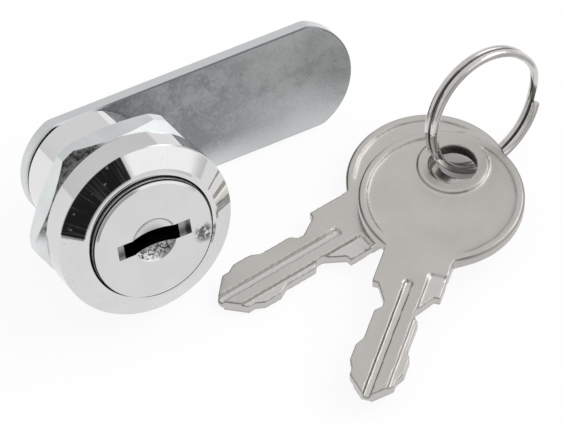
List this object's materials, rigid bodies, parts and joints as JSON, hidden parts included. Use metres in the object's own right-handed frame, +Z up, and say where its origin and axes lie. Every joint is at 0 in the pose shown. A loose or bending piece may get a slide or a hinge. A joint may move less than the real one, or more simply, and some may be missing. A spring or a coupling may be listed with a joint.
{
  "type": "cam lock with keys",
  "caption": "Wafer cam lock for a mailbox or cabinet: chrome bezel head, hex nut, flat zinc cam and a pair of double-sided keys on a split ring.",
  "frame": {"origin": "middle of the panel seat, the flat back face of the bezel head, on the lock's axis", "axes": "+X along the cam from the lock's axis to the cam's tip; +Z up; the barrel points to +Y and dips, because the lock lies on its nut and cam; the key side faces -Y"},
  "size_m": [0.0777, 0.0569, 0.0271],
  "materials": {
    "chrome_head": "bright polished chrome plate over die-cast zinc",
    "chrome_plug": "bright polished chrome plate",
    "zinc_cam": "clear zinc plate with a faint mottled spangle",
    "zinc_steel": "clear zinc plate",
    "zinc_screw": "clear zinc plate",
    "nut_metal": "satin zinc die casting",
    "wafer_brass": "plain stamped brass",
    "spring_steel": "drawn spring wire",
    "key_nickel": "satin nickel plate",
    "ring_steel": "nickel plated spring wire"
  },
  "bodies": {
    "lock_housing": {"housing": "chrome_head"},
    "lock_plug": {"plug": "chrome_plug", "stop_washer": "zinc_steel", "cam": "zinc_cam", "cam_washer": "zinc_steel", "cam_screw": "zinc_screw", "wafer_spring_1": "spring_steel", "wafer_spring_2": "spring_steel", "wafer_spring_3": "spring_steel", "wafer_spring_4": "spring_steel", "wafer_spring_5": "spring_steel"},
    "mounting_nut": {"hex_nut": "nut_metal"},
    "key_ring": {"split_ring": "ring_steel"},
    "front_key": {"key_front": "key_nickel"},
    "back_key": {"key_back": "key_nickel"},
    "wafer_body_1": {"wafer_1": "wafer_brass"},
    "wafer_body_2": {"wafer_2": "wafer_brass"},
    "wafer_body_3": {"wafer_3": "wafer_brass"},
    "wafer_body_4": {"wafer_4": "wafer_brass"},
    "wafer_body_5": {"wafer_5": "wafer_brass"}
  },
  "joints": [
    {"name": "plug_turn", "type": "hinge", "parent": "lock_housing", "child": "lock_plug", "pos_m": [0, 0, 0], "axis": [0, -0.9488, 0.3159], "range_deg": [0, 90]},
    {"name": "nut_travel", "type": "slide", "parent": "lock_housing", "child": "mounting_nut", "axis": [0, 0.9488, -0.3159], "range_m": [0, 0.0105]},
    {"name": "keyring_lift", "type": "slide", "parent": "lock_housing", "child": "key_ring", "axis": [0.5, -0.6, 0.6245], "range_m": [0, 0.03]},
    {"name": "front_key_swing", "type": "hinge", "parent": "key_ring", "child": "front_key", "pos_m": [0.04705, -0.00664, -0.00854], "axis": [-0.0341, -0.0176, 0.9993], "range_deg": [-15, 20]},
    {"name": "back_key_swing", "type": "hinge", "parent": "key_ring", "child": "back_key", "pos_m": [0.0495, -0.00477, -0.01077], "axis": [-0.0341, -0.0176, 0.9993], "range_deg": [-10, 20]},
    {"name": "wafer_slide_1", "type": "slide", "parent": "lock_plug", "child": "wafer_body_1", "axis": [1, 0, 0], "range_m": [0, 0.0007], "stiffness_N_per_m": 200, "deforming": ["wafer_spring_1"]},
    {"name": "wafer_slide_2", "type": "slide", "parent": "lock_plug", "child": "wafer_body_2", "axis": [-1, 0, 0], "range_m": [0, 0.0007], "stiffness_N_per_m": 200, "deforming": ["wafer_spring_2"]},
    {"name": "wafer_slide_3", "type": "slide", "parent": "lock_plug", "child": "wafer_body_3", "axis": [1, 0, 0], "range_m": [0, 0.0007], "stiffness_N_per_m": 200, "deforming": ["wafer_spring_3"]},
    {"name": "wafer_slide_4", "type": "slide", "parent": "lock_plug", "child": "wafer_body_4", "axis": [-1, 0, 0], "range_m": [0, 0.0007], "stiffness_N_per_m": 200, "deforming": ["wafer_spring_4"]},
    {"name": "wafer_slide_5", "type": "slide", "parent": "lock_plug", "child": "wafer_body_5", "axis": [1, 0, 0], "range_m": [0, 0.0007], "stiffness_N_per_m": 200, "deforming": ["wafer_spring_5"]}
  ]
}
